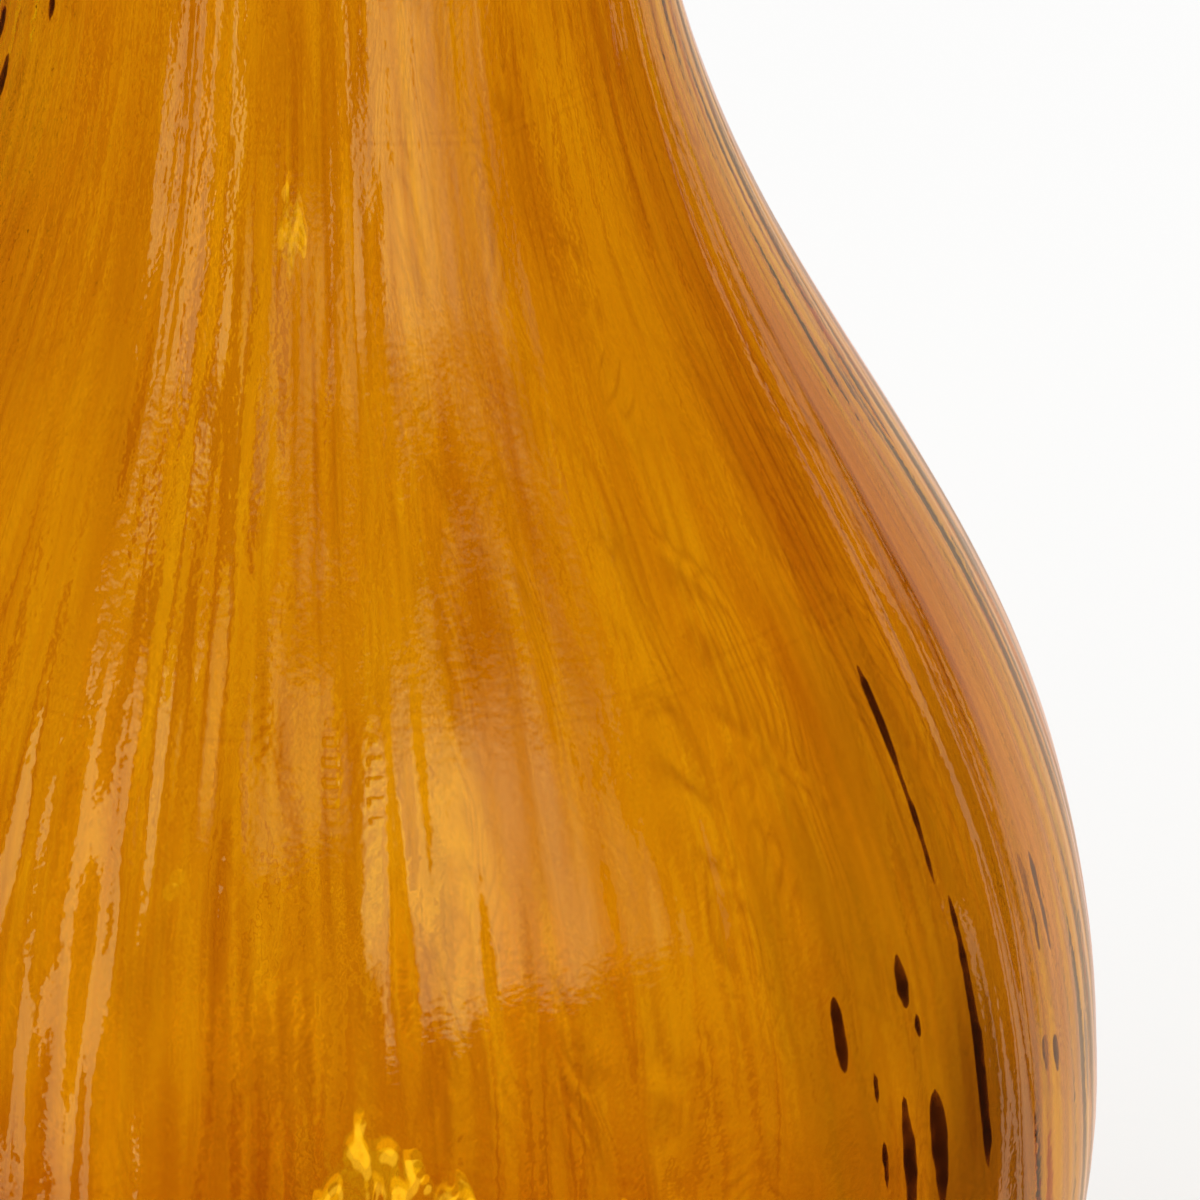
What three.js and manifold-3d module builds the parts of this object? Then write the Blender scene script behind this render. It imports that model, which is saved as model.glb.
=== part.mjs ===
// A hand-blown pear-shaped vase of streaked amber glass. An amber gather holds the water. Chips of dark
// brown glass lie in it, drawn out along the wall, and a clear gather covers it from the foot to the lip.
// Millimetres, +Z up. The origin is the centre of the ground foot, on the table, and -Y is the front.

import * as THREE from "three";
import { mergeVertices } from "three/addons/utils/BufferGeometryUtils.js";
import Module from "manifold-3d";

const wasm = await Module();
wasm.setup();

// Outline of the outside
const height = 350;
const bellyDiameter = 240;
const bellyHeight = 100;
const neckDiameter = 97;
const neckHeight = 326;
const mouthDiameter = 116;
const footDiameter = 120;

// How the outline bends between those sizes: the length of each curve's handle
const footRun = 30;
const footLift = 10;
const bellyDrop = 50;
const bellyRise = 105;
const neckFall = 104;
const neckRun = 9;
const lipRun = 10;
const lipFlare = THREE.MathUtils.degToRad(30);

// Glass layers
const amberWall = 3.3;
const casingWall = 1.4;
const layerGap = 0.3;
const floorHeight = 13;
const footBand = 8;
const lipBand = 6;

// Ground foot: a flat ring round a hollow where the pontil mark was ground out
const hollowDiameter = 88;
const hollowDepth = 5;

// Dark chips. A middling one has this length and width, and the lists give each one's share of them.
const chipLength = 20;
const chipWidth = 2;
const chipThickness = 1.5;
const chipSink = 0.4;
const chipClearance = 0.3;

// A chip was dragged downwards, so it is widest near its upper end. Head is that place as a share of its
// length from the lower end, waist is how far it is pinched in the middle, and a smaller fullness gives
// blunter ends.
const plainChip = { head: 0.62, waist: 0 };
const chipFullness = 0.6;
const waistReach = 0.15;

// Chips that lie apart from the crowd. Turn is in degrees round from the front towards +X, and rise is
// the share of the way up the glass from the foot's edge to the lip.
const loneChips = [
  { turn: 57.3, rise: 0.516, long: 2.11, wide: 1.25, waist: 0.6 },
  { turn: 50.6, rise: 0.441, long: 0.54, wide: 1.45, head: 0.5 },
  { turn: 51.6, rise: 0.421, long: 0.24, wide: 0.55 },
  { turn: 43.2, rise: 0.431, long: 0.74, wide: 1.35, head: 0.45 },
  { turn: 46.1, rise: 0.404, long: 0.32, wide: 0.45 },
  { turn: 46.4, rise: 0.371, long: 0.47, wide: 0.6 },
  { turn: 49, rise: 0.368, long: 1.3, wide: 1.7, head: 0.5 },
  { turn: 52.6, rise: 0.364, long: 1.35, wide: 2.4, head: 0.7 },
  { turn: 58.7, rise: 0.405, long: 2.5, wide: 1.25, head: 0.35 },
  { turn: 73.2, rise: 0.432, long: 1.04, wide: 1.3, waist: 0.4 },
  { turn: 71.5, rise: 0.37, long: 0.38, wide: 1.1 },
  { turn: 83, rise: 0.342, long: 1.05, wide: 1.2 },
  { turn: 86, rise: 0.352, long: 1.25, wide: 1.1 },
  { turn: 87.6, rise: 0.635, long: 1.3, wide: 0.45 },
  { turn: 96.5, rise: 0.543, long: 0.5, wide: 0.6 },
  { turn: -67, rise: 0.826, long: 0.45, wide: 0.8 },
  { turn: -52.6, rise: 0.843, long: 0.25, wide: 0.55 },
  { turn: -62.8, rise: 0.806, long: 0.6, wide: 0.6 },
];

// The other chips crowd towards the foot, spread by the golden ratio over three patches of the wall
const chipsPerPatch = 7;
const crowdPatches = [
  { turn: 94, sweep: 18, low: 0.08, high: 0.22 },
  { turn: 222, sweep: 66, low: 0.14, high: 0.74 },
  { turn: -60, sweep: 110, low: 0.09, high: 0.27 },
];
const crowdLong = { least: 0.4, most: 1.2 };
const crowdWide = { least: 0.7, most: 1.4 };

// Facets
const turnSegments = 48;
const footCurveSteps = 8;
const shoulderCurveSteps = 14;
const lipCurveSteps = 4;
const insideRingsSkipped = 2;
const rimSteps = 6;
const floorSteps = 7;
const hollowSteps = 3;
const chipRingsPerLength = 3;
const leastChipRings = 4;
const chipSides = 6;

const goldenShare = (Math.sqrt(5) - 1) / 2;
const wall = amberWall + layerGap + casingWall;
const rimRadius = wall / 2;
const casingDepth = casingWall + layerGap;

// The outline runs along the outside from the foot's edge, round the belly and the neck, to the lip
function makeOutline() {
  const foot = new THREE.Vector2(footDiameter / 2, 0);
  const belly = new THREE.Vector2(bellyDiameter / 2, bellyHeight);
  const neck = new THREE.Vector2(neckDiameter / 2, neckHeight);
  const along = new THREE.Vector2(Math.sin(lipFlare), Math.cos(lipFlare));
  const lip = rimCentre().addScaledVector(outward(along), rimRadius);
  const path = new THREE.CurvePath();
  path.add(new THREE.CubicBezierCurve(
    foot,
    new THREE.Vector2(foot.x + footRun, footLift),
    new THREE.Vector2(belly.x, belly.y - bellyDrop),
    belly,
  ));
  path.add(new THREE.CubicBezierCurve(
    belly,
    new THREE.Vector2(belly.x, belly.y + bellyRise),
    new THREE.Vector2(neck.x, neck.y - neckFall),
    neck,
  ));
  path.add(new THREE.CubicBezierCurve(
    neck,
    new THREE.Vector2(neck.x, neck.y + neckRun),
    lip.clone().addScaledVector(along, -lipRun),
    lip,
  ));
  return path;
}

function outward(along) {
  return new THREE.Vector2(along.y, -along.x);
}

function rimCentre() {
  return new THREE.Vector2(mouthDiameter / 2 - rimRadius, height - rimRadius);
}

const outline = makeOutline();
const outlineLength = outline.getLength();

// A point that lies depth inside the outline, at a distance along it
function inside(distance, depth) {
  const share = distance / outlineLength;
  const point = outline.getPoint(share);
  return point.addScaledVector(outward(outline.getTangent(share)), -depth);
}

// Distances along the outline where its rings of facets lie
function ringDistances() {
  const steps = [footCurveSteps, shoulderCurveSteps, lipCurveSteps];
  const distances = [0];
  let start = 0;
  outline.curves.forEach((curve, index) => {
    const length = curve.getLength();
    for (let step = 1; step <= steps[index]; step += 1) {
      distances.push(start + (length * step) / steps[index]);
    }
    start += length;
  });
  return distances;
}

const rings = ringDistances();

// One layer's side: its two ends and the rings between them
function side(from, to, depth, every = 1) {
  const between = rings.filter((distance) => distance > from + layerGap && distance < to - layerGap);
  const kept = between.filter((_, index) => index % every === every - 1);
  return [from, ...kept, to].map((distance) => inside(distance, depth));
}

function revolve(profile) {
  const geometry = new THREE.LatheGeometry(profile, turnSegments);
  geometry.rotateX(Math.PI / 2);
  return geometry;
}

// The hollow under the foot is a shallow dome
function hollowProfile() {
  const radius = hollowDiameter / 2;
  const points = [];
  for (let step = 0; step <= hollowSteps; step += 1) {
    const angle = (step / hollowSteps) * (Math.PI / 2);
    points.push(new THREE.Vector2(radius * Math.sin(angle), hollowDepth * Math.cos(angle)));
  }
  points[0].x = 0;
  points[hollowSteps].y = 0;
  return points;
}

// The lip is fire polished round, from the outside over to the inside
function rimProfile() {
  const centre = rimCentre();
  const points = [];
  for (let step = 1; step < rimSteps; step += 1) {
    const angle = -lipFlare + (step / rimSteps) * Math.PI;
    const arm = new THREE.Vector2(Math.cos(angle), Math.sin(angle));
    points.push(centre.clone().addScaledVector(arm, rimRadius));
  }
  return points;
}

// The floor inside rises into the wall at the belly and leaves the foot thick
function floorProfile() {
  const curve = new THREE.CubicBezierCurve(
    new THREE.Vector2(bellyDiameter / 2 - wall, bellyHeight),
    new THREE.Vector2(bellyDiameter / 2 - wall, bellyHeight - bellyDrop + wall),
    new THREE.Vector2(footDiameter / 2 + footRun, floorHeight),
    new THREE.Vector2(0, floorHeight),
  );
  return curve.getSpacedPoints(floorSteps).slice(1);
}

// The amber's outside lies under the casing, and comes to the surface in a band at the foot and the lip
function amberOutside() {
  const ledge = footBand - layerGap;
  const collar = outlineLength - lipBand + layerGap;
  return [
    inside(0, 0),
    inside(ledge, 0),
    ...side(ledge, collar, casingDepth),
    ...side(collar, outlineLength, 0),
  ];
}

function amberProfile() {
  const bellyDistance = outline.curves[0].getLength();
  return [
    ...hollowProfile(),
    ...amberOutside(),
    ...rimProfile(),
    ...side(bellyDistance, outlineLength, wall, insideRingsSkipped).reverse(),
    ...floorProfile(),
  ];
}

// The same amber with nothing hollow in it, to grind each chip flush with the amber's outside
function flushProfile() {
  const outside = amberOutside();
  const last = outside[outside.length - 1];
  return [new THREE.Vector2(0, 0), ...outside, new THREE.Vector2(0, last.y)];
}

function casingProfile() {
  const from = footBand;
  const to = outlineLength - lipBand;
  const outer = side(from, to, 0);
  const inner = side(from, to, casingWall).reverse();
  return [...outer, ...inner, outer[0].clone()];
}

// A point at a depth under the amber's facets, which lie a little inside the true curve
function underFacets(distance, turn, depth) {
  const above = rings.findIndex((ring) => ring > distance);
  const share = (distance - rings[above - 1]) / (rings[above] - rings[above - 1]);
  const lower = inside(rings[above - 1], casingDepth + depth);
  const upper = inside(rings[above], casingDepth + depth);
  const facet = (2 * Math.PI) / turnSegments;
  const offCentre = THREE.MathUtils.euclideanModulo(turn, facet) - facet / 2;
  const point = lower.lerp(upper, share);
  point.x *= Math.cos(facet / 2) / Math.cos(offCentre);
  return point;
}

// A chip is a drop that tapers to both ends
function chipProfile(chip) {
  const ringCount = Math.max(leastChipRings, Math.round(chip.long * chipRingsPerLength));
  const lean = Math.log(0.5) / Math.log(chip.head);
  const profile = [new THREE.Vector2(0, -1)];
  for (let ring = 1; ring < ringCount; ring += 1) {
    const share = ring / ringCount;
    const swell = Math.pow(Math.sin(Math.PI * Math.pow(share, lean)), chipFullness);
    const pinch = chip.waist * Math.exp(-Math.pow((share - 0.5) / waistReach, 2));
    profile.push(new THREE.Vector2(swell * (1 - pinch), 2 * share - 1));
  }
  profile.push(new THREE.Vector2(0, 1));
  return profile;
}

// The chip or, with a clearance, its pocket, bent to lie along the wall
function chipGeometry(chip, clearance) {
  const geometry = new THREE.LatheGeometry(chipProfile(chip), chipSides);
  const places = geometry.attributes.position;
  for (let index = 0; index < places.count; index += 1) {
    const across = places.getX(index) * ((chip.wide * chipWidth) / 2 + clearance);
    const along = places.getY(index) * ((chip.long * chipLength) / 2 + clearance);
    const out = places.getZ(index) * (chipThickness / 2 + clearance);
    const distance = chip.rise * outlineLength + along;
    const radius = inside(distance, casingDepth).x;
    const turn = THREE.MathUtils.degToRad(chip.turn) + across / radius;
    const point = underFacets(distance, turn, chipSink - out);
    places.setXYZ(index, point.x * Math.sin(turn), -point.x * Math.cos(turn), point.y);
  }
  return geometry;
}

function spread(range, share) {
  return THREE.MathUtils.lerp(range.least, range.most, share);
}

function crowdChip(patch, index) {
  const around = ((index + 1) * goldenShare) % 1;
  const up = (index + 0.5) / chipsPerPatch;
  const size = (around + up) % 1;
  return {
    turn: patch.turn + patch.sweep * around,
    rise: THREE.MathUtils.lerp(patch.low, patch.high, up),
    long: spread(crowdLong, size),
    wide: spread(crowdWide, 1 - size),
  };
}

function allChips() {
  const indexes = Array.from({ length: chipsPerPatch }, (_, index) => index);
  const crowd = crowdPatches.flatMap((patch) => indexes.map((index) => crowdChip(patch, index)));
  return [...loneChips, ...crowd].map((chip) => ({ ...plainChip, ...chip }));
}

// Welds a geometry's vertices, drops the empty triangles at its poles and makes it a solid
function toSolid(geometry) {
  const bare = geometry.clone();
  bare.deleteAttribute("normal");
  bare.deleteAttribute("uv");
  const welded = mergeVertices(bare, 1e-4);
  const corners = welded.index.array;
  const kept = [];
  for (let index = 0; index < corners.length; index += 3) {
    const [a, b, c] = corners.slice(index, index + 3);
    if (a !== b && b !== c && c !== a) {
      kept.push(a, b, c);
    }
  }
  const vertProperties = new Float32Array(welded.attributes.position.array);
  const triVerts = new Uint32Array(kept);
  return new wasm.Manifold(new wasm.Mesh({ numProp: 3, vertProperties, triVerts }));
}

function toGeometry(solid) {
  const mesh = solid.getMesh();
  const geometry = new THREE.BufferGeometry();
  geometry.setAttribute("position", new THREE.BufferAttribute(mesh.vertProperties, 3));
  geometry.setIndex(new THREE.BufferAttribute(mesh.triVerts, 1));
  geometry.computeVertexNormals();
  return geometry;
}

function makeMesh(name, geometry, color, opacity) {
  const material = new THREE.MeshStandardMaterial({ color, roughness: 0.05, metalness: 0 });
  material.transparent = opacity < 1;
  material.opacity = opacity;
  const mesh = new THREE.Mesh(geometry, material);
  mesh.name = name;
  return mesh;
}

function makeAmberBody(chips) {
  const pockets = chips.map((chip) => toSolid(chipGeometry(chip, chipClearance)));
  const cut = pockets.reduce((body, pocket) => body.subtract(pocket), toSolid(revolve(amberProfile())));
  return makeMesh("amber_body", toGeometry(cut), 0xd28a0c, 0.8);
}

function makeCasing() {
  return makeMesh("clear_casing", revolve(casingProfile()), 0xfff4e0, 0.3);
}

function makeChip(chip, index, flush) {
  const solid = toSolid(chipGeometry(chip, 0)).intersect(flush);
  const number = String(index + 1).padStart(2, "0");
  return makeMesh(`dark_chip_${number}`, toGeometry(solid), 0x2e1a10, 1);
}

function makeVase() {
  const chips = allChips();
  const flush = toSolid(revolve(flushProfile()));
  const vase = new THREE.Group();
  vase.name = "vase";
  vase.add(makeAmberBody(chips));
  vase.add(makeCasing());
  chips.forEach((chip, index) => vase.add(makeChip(chip, index, flush)));
  return vase;
}

export default makeVase();
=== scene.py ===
"""A hand-blown pear-shaped vase of streaked amber glass, with dark chips drawn out in its wall.

Everything is in metres, +Z up, with the origin under the middle of the foot and -Y the front.
"""
import logging
import math
from collections.abc import Iterator
from dataclasses import dataclass, field
from enum import Enum
from functools import cached_property, reduce

import bpy
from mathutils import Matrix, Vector


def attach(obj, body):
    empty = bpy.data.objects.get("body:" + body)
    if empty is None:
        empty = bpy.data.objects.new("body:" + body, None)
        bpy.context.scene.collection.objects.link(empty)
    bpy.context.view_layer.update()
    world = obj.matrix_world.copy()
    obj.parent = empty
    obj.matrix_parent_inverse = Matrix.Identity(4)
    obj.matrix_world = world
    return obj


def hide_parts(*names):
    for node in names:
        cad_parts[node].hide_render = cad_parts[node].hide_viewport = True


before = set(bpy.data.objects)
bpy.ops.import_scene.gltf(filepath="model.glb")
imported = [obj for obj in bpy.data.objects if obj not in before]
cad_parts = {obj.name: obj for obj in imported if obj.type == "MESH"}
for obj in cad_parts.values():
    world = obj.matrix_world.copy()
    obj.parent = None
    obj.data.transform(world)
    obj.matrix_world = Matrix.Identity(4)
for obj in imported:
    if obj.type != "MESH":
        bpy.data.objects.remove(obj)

LOG = logging.getLogger("vase")
BODY = "root"
MM = 0.001

Colour = tuple[float, float, float]
Range = tuple[float, float]
Socket = bpy.types.NodeSocket
Tree = bpy.types.NodeTree

WAVE_INPUTS = ("Around", "Rise", "Height", "Seed")
WHITE: Colour = (1.0, 1.0, 1.0)
BLACK: Colour = (0.0, 0.0, 0.0)


class SocketKind(Enum):
    """Socket types that the node trees take as named inputs."""

    FLOAT = "NodeSocketFloat"
    INT = "NodeSocketInt"
    VECTOR = "NodeSocketVector"
    GEOMETRY = "NodeSocketGeometry"
    MATERIAL = "NodeSocketMaterial"


class Side(Enum):
    """The side of the glass that a stretch of the profile lies on."""

    OUTSIDE = "outside"
    INSIDE = "inside"
    GROUND = "ground"


class Wiring:
    """Adds and joins the nodes of one tree."""

    def __init__(self, tree: Tree) -> None:
        """Keeps the tree that the nodes go into."""
        self.tree = tree

    def add_input(self, name: str, kind: SocketKind) -> str:
        """Adds a named input to the tree and gives the identifier that a modifier sets it by."""
        return self.tree.interface.new_socket(
            name=name, in_out="INPUT", socket_type=kind.value).identifier

    def add_output(self, name: str, kind: SocketKind) -> None:
        """Adds a named output to the tree."""
        self.tree.interface.new_socket(name=name, in_out="OUTPUT", socket_type=kind.value)

    def node(self, kind: str, inputs: dict | None = None, **settings: object) -> bpy.types.Node:
        """Adds a node.

        Args:
            kind: The node's type name.
            inputs: Values or sockets for its inputs, by name or number.
            **settings: The node's own settings.

        Returns:
            The new node.
        """
        made = self.tree.nodes.new(kind)
        for name, value in settings.items():
            setattr(made, name, value)
        for name, value in (inputs or {}).items():
            self.feed(made.inputs[name], value)
        return made

    def feed(self, socket: Socket, value: object) -> None:
        """Links a socket to an input, or sets the input's plain value.

        Args:
            socket: The input.
            value: The socket or the value.
        """
        if isinstance(value, Socket):
            self.tree.links.new(value, socket)
        else:
            socket.default_value = value

    def math(self, operation: str, *values: object) -> Socket:
        """Gives the result of a Math node on up to three values."""
        return self.node("ShaderNodeMath", dict(enumerate(values)), operation=operation).outputs[0]

    def times(self, first: object, second: object) -> Socket:
        """Multiplies two numbers."""
        return self.math("MULTIPLY", first, second)

    def minus(self, first: object, second: object) -> Socket:
        """Takes one number from another."""
        return self.math("SUBTRACT", first, second)

    def total(self, *values: object) -> Socket:
        """Adds up two or more numbers."""
        return reduce(lambda first, second: self.math("ADD", first, second), values)

    def vector_math(self, operation: str, *values: object, **names: object) -> Socket:
        """Gives the vector of a Vector Math node on its numbered and named inputs."""
        inputs = dict(enumerate(values)) | names
        return self.node("ShaderNodeVectorMath", inputs, operation=operation).outputs["Vector"]

    def square(self, vector: object) -> Socket:
        """Gives the square of a vector's length."""
        made = self.node("ShaderNodeVectorMath", {0: vector, 1: vector}, operation="DOT_PRODUCT")
        return made.outputs["Value"]

    def scale(self, vector: object, factor: object) -> Socket:
        """Multiplies a vector by a number."""
        return self.vector_math("SCALE", Vector=vector, Scale=factor)

    def combine(self, x: object, y: object, z: object) -> Socket:
        """Makes a vector of three numbers."""
        return self.node("ShaderNodeCombineXYZ", {"X": x, "Y": y, "Z": z}).outputs["Vector"]

    def separate(self, vector: object) -> tuple[Socket, ...]:
        """Splits a vector into its three numbers."""
        return tuple(self.node("ShaderNodeSeparateXYZ", {"Vector": vector}).outputs)

    def noise(self, vector: object, detail: float = 1.0, roughness: float = 0.5,
              distortion: float = 0.0) -> Socket:
        """Gives the number of a Noise Texture at scale 1, from 0 to 1."""
        return self.node("ShaderNodeTexNoise", {
            "Vector": vector, "Scale": 1.0, "Detail": detail, "Roughness": roughness,
            "Distortion": distortion,
        }).outputs[0]

    def swing(self, vector: object) -> Socket:
        """Gives noise that swings half either way of nothing."""
        return self.minus(self.noise(vector), 0.5)

    def remap(self, value: object, low: object, high: object, to_low: object = 0.0,
              to_high: object = 1.0) -> Socket:
        """Carries a number smoothly from one range to another and clamps it."""
        inputs = dict(enumerate((value, low, high, to_low, to_high)))
        return self.node("ShaderNodeMapRange", inputs, interpolation_type="SMOOTHSTEP").outputs[0]

    def mix_colour(self, factor: object, first: object, second: object,
                   blend: str = "MIX") -> Socket:
        """Mixes two colours, the first underneath, by a share of the second."""
        inputs = {0: factor, 6: first, 7: second}
        return self.node("ShaderNodeMix", inputs, data_type="RGBA", blend_type=blend).outputs[2]

    def dress(self, geometry: Socket, material: Socket, output: str) -> None:
        """Ends a Geometry Nodes tree with a smooth shape that has its material.

        Args:
            geometry: The shape.
            material: Its material.
            output: The name of the tree's output.
        """
        smooth = self.node("GeometryNodeSetShadeSmooth", {"Geometry": geometry})
        real = self.node("GeometryNodeRealizeInstances", {"Geometry": smooth.outputs["Geometry"]})
        dressed = self.node("GeometryNodeSetMaterial", {
            "Geometry": real.outputs["Geometry"], "Material": material,
        })
        self.node("NodeGroupOutput", {output: dressed.outputs["Geometry"]})


def rgba(colour: Colour) -> tuple[float, float, float, float]:
    """Gives a colour its fourth number."""
    return (*colour, 1.0)


def emptied(owner: bpy.types.ID) -> Tree:
    """Empties a node tree.

    Args:
        owner: The material, light or world that it belongs to.

    Returns:
        The tree.
    """
    owner.use_nodes = True
    owner.node_tree.nodes.clear()
    return owner.node_tree


def add_object(name: str, data: bpy.types.ID) -> bpy.types.Object:
    """Adds an object to the scene.

    Args:
        name: Its name.
        data: Its mesh, light or camera.

    Returns:
        The object.
    """
    added = bpy.data.objects.new(name, data)
    bpy.context.scene.collection.objects.link(added)
    return added


def grow(mesh: bpy.types.Mesh, tree: Tree, values: dict[str, object],
         name: str) -> bpy.types.Object:
    """Runs a Geometry Nodes tree on a mesh and turns the result into a plain mesh.

    Args:
        mesh: What the tree starts from.
        tree: The Geometry Nodes tree.
        values: The modifier's inputs, by the sockets' identifiers.
        name: The finished piece's name.

    Returns:
        The finished piece, at the origin, with no modifier.
    """
    scratch = add_object("scratch", mesh)
    modifier = scratch.modifiers.new("nodes", "NODES")
    modifier.node_group = tree
    for identifier, value in values.items():
        modifier[identifier] = value
    graph = bpy.context.evaluated_depsgraph_get()
    grown = bpy.data.meshes.new_from_object(scratch.evaluated_get(graph))
    grown.name = name
    piece = add_object(name, grown)
    bpy.data.objects.remove(scratch)
    return piece


@dataclass
class ProfilePoint:
    """A point of the wall's profile.

    Attributes:
        place: Radius and height, in millimetres.
        along: The direction of the profile there.
        side: The side of the glass that it lies on.
    """

    place: Vector
    along: Vector
    side: Side

    def outward(self) -> Vector:
        """The direction out of the glass."""
        return Vector((self.along.y, -self.along.x))


@dataclass
class Outline:
    """The sizes of the glass, as its solids have them, in millimetres."""

    height: float = 350.0
    belly_radius: float = 120.0
    belly_height: float = 100.0
    neck_radius: float = 48.5
    neck_height: float = 326.0
    mouth_radius: float = 58.0
    foot_radius: float = 60.0
    hollow_radius: float = 44.0
    hollow_depth: float = 5.0
    floor_height: float = 13.0
    wall: float = 5.0
    foot_run: float = 30.0
    foot_lift: float = 10.0
    belly_drop: float = 50.0
    belly_rise: float = 105.0
    neck_fall: float = 104.0
    neck_run: float = 9.0
    lip_run: float = 10.0
    lip_flare: float = math.radians(30.0)

    def rim_centre(self) -> Vector:
        """The middle of the round lip."""
        return Vector((self.mouth_radius - self.wall / 2, self.height - self.wall / 2))

    def outside(self) -> list[list[Vector]]:
        """The Bezier curves of the outside, from the foot's edge to the lip.

        Returns:
            The four control points of each curve.
        """
        foot = Vector((self.foot_radius, 0.0))
        belly = Vector((self.belly_radius, self.belly_height))
        neck = Vector((self.neck_radius, self.neck_height))
        along = Vector((math.sin(self.lip_flare), math.cos(self.lip_flare)))
        lip = self.rim_centre() + Vector((along.y, -along.x)) * (self.wall / 2)
        foot_end = foot + Vector((self.foot_run, self.foot_lift))
        return [
            [foot, foot_end, belly - Vector((0, self.belly_drop)), belly],
            [belly, belly + Vector((0, self.belly_rise)), neck - Vector((0, self.neck_fall)), neck],
            [neck, neck + Vector((0, self.neck_run)), lip - along * self.lip_run, lip],
        ]

    def floor(self) -> list[Vector]:
        """The Bezier curve of the inside, from the belly down to the middle of the floor.

        Returns:
            Its four control points.
        """
        side = self.belly_radius - self.wall
        return [
            Vector((side, self.belly_height)),
            Vector((side, self.belly_height - self.belly_drop + self.wall)),
            Vector((self.foot_radius + self.foot_run, self.floor_height)),
            Vector((0.0, self.floor_height)),
        ]


def bezier(points: list[Vector], count: int, side: Side) -> list[ProfilePoint]:
    """Samples a cubic Bezier curve.

    Args:
        points: Its four control points.
        count: The number of steps.
        side: The side of the glass that it lies on.

    Returns:
        A profile point at each step and at both ends.
    """
    a, b, c, d = points
    samples = []
    for step in range(count + 1):
        t = step / count
        s = 1.0 - t
        place = a * s**3 + b * 3 * s * s * t + c * 3 * s * t * t + d * t**3
        slope = (b - a) * s * s + (c - b) * 2 * s * t + (d - c) * t * t
        samples.append(ProfilePoint(place, slope.normalized(), side))
    return samples


@dataclass
class Rows:
    """How many rows of faces each stretch of the profile gets."""

    hollow: int = 4
    ring: int = 2
    outside: tuple[int, int, int] = (26, 58, 10)
    rim: int = 8
    inside: tuple[int, int] = (7, 28)
    floor: int = 16


@dataclass(frozen=True)
class Wave:
    """Waves in blown glass, drawn out along the wall.

    Attributes:
        around: How many waves pass in one radian round the vase.
        rise: The length of a wave up the wall, in millimetres.
        height: How high the waves stand, in millimetres.
        seed: Where in the noise they are read.
        lively: The share of their height on the lively side of the vase.
        calm: The share of their height on the calm side.
    """

    around: float
    rise: float
    height: float
    seed: float
    lively: float = 1.0
    calm: float = 0.2

    def inputs(self) -> dict[str, float]:
        """What the wall's tree takes for the wave, by name, in metres."""
        values = (self.around, self.rise * MM, self.height * MM, self.seed)
        return dict(zip(WAVE_INPUTS, values)) | {
            "Lively share": self.lively, "Calm share": self.calm,
        }


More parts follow.
